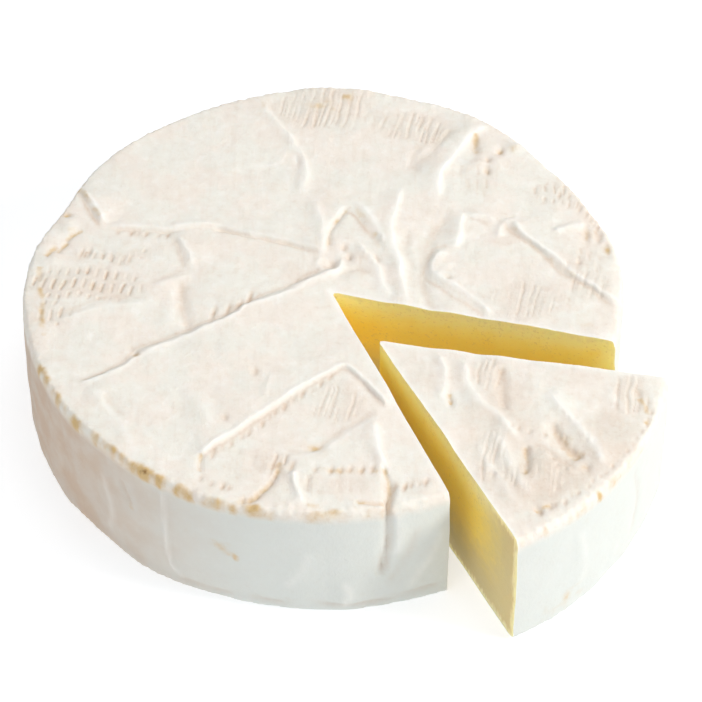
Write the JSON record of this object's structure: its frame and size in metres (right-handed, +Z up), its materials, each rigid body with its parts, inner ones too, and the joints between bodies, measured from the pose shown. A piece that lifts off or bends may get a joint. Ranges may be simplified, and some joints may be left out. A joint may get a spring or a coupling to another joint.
{
  "type": "soft-ripened cheese wheel with a cut wedge",
  "caption": "Low round soft-ripened cheese with a white bloomy rind, cut to show its yellow paste, with the cut wedge drawn partly out of its notch.",
  "frame": {"origin": "middle of the footprint box of the wheel and its wedge, on the plane that they rest on", "axes": "+Z up along the wheel's axis; the notch and the drawn-out wedge face between +X and -Y; seen from -Y the wedge is to the right"},
  "size_m": [0.1528, 0.1514, 0.035],
  "materials": {
    "rind": "matt white bloom over cream, with tan ribs and edges; pale gold paste on the cut faces"
  },
  "bodies": {
    "root": {"cut_wheel": "rind", "wedge": "rind"}
  },
  "joints": []
}
